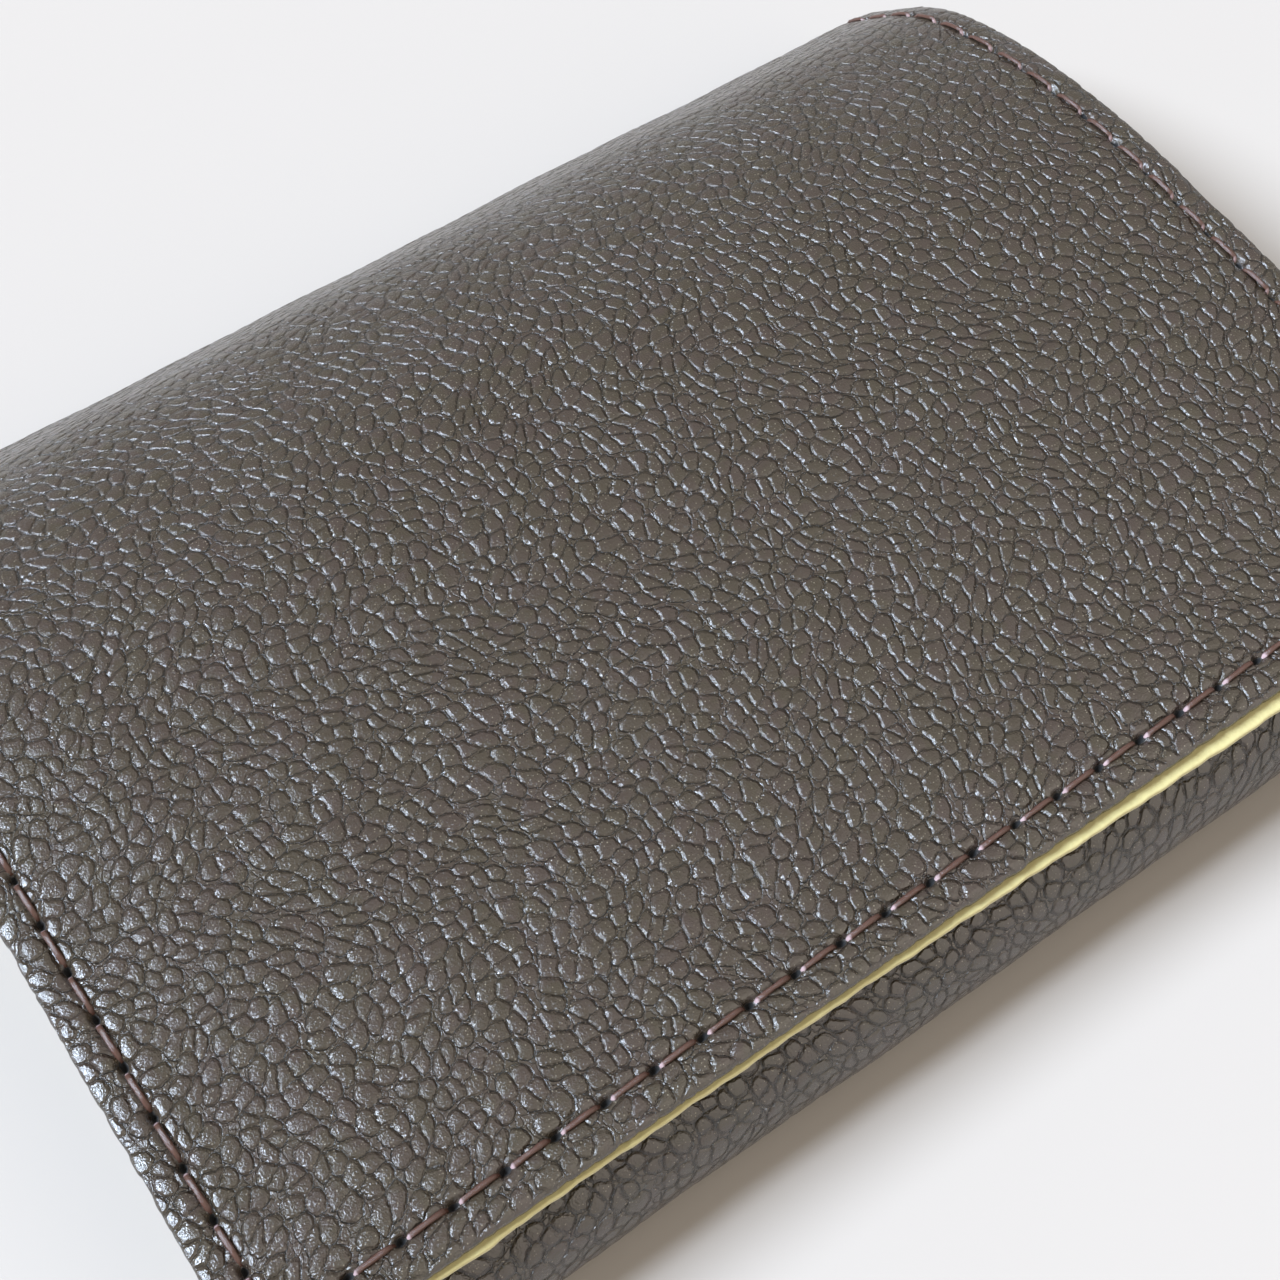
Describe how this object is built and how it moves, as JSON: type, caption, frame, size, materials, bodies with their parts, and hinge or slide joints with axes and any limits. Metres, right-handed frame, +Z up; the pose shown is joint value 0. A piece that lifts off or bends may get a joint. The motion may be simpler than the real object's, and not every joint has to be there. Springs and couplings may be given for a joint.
{
  "type": "business card case",
  "caption": "Closed flap-top business card case in pebbled brown leather with a pale yellow lining, a gusseted card pocket and a slip pocket.",
  "frame": {"origin": "middle of the underside, where the back panel rests on a surface", "axes": "+X along the width, +Y from the bottom fold towards the spine, +Z up through the closed flap"},
  "size_m": [0.106, 0.0804, 0.0193],
  "materials": {
    "leather": "pebble embossed, semi matt",
    "lining": "smooth matt with raw cut edges",
    "board": "matt",
    "thread": "twisted, dull sheen"
  },
  "bodies": {
    "case_body": {"back_leather": "leather", "back_lining": "lining", "back_board": "board", "slip_pocket": "lining", "gusset_left": "leather", "gusset_right": "leather", "back_stitching_left": "thread", "back_stitching_right": "thread"},
    "spine": {"spine_leather": "leather", "spine_lining": "lining", "spine_stitching_left": "thread", "spine_stitching_right": "thread"},
    "flap": {"flap_leather": "leather", "flap_lining": "lining", "flap_board": "board", "flap_stitching": "thread"},
    "front_pocket": {"front_pocket_leather": "leather", "front_pocket_lining": "lining", "front_pocket_board": "board", "front_pocket_stitching_left": "thread", "front_pocket_stitching_right": "thread"}
  },
  "joints": [
    {"name": "spine_fold", "type": "hinge", "parent": "case_body", "child": "spine", "pos_m": [0, 0.04027, 0.00345], "axis": [-1, 0, 0], "range_deg": [0, 120]},
    {"name": "flap_fold", "type": "hinge", "parent": "spine", "child": "flap", "pos_m": [0, 0.01946, 0.0177], "axis": [-1, 0, 0], "range_deg": [0, 54]},
    {"name": "pocket_open", "type": "hinge", "parent": "case_body", "child": "front_pocket", "pos_m": [0, -0.04027, 0.006], "axis": [1, 0, 0], "range_deg": [0, 10], "deforming": ["gusset_left", "gusset_right"]}
  ],
  "couplings": [
    {"joint": "flap_fold", "follows": "spine_fold", "ratio": 0.45},
    {"joint": "pocket_open", "follows": "spine_fold", "ratio": 0.08}
  ]
}
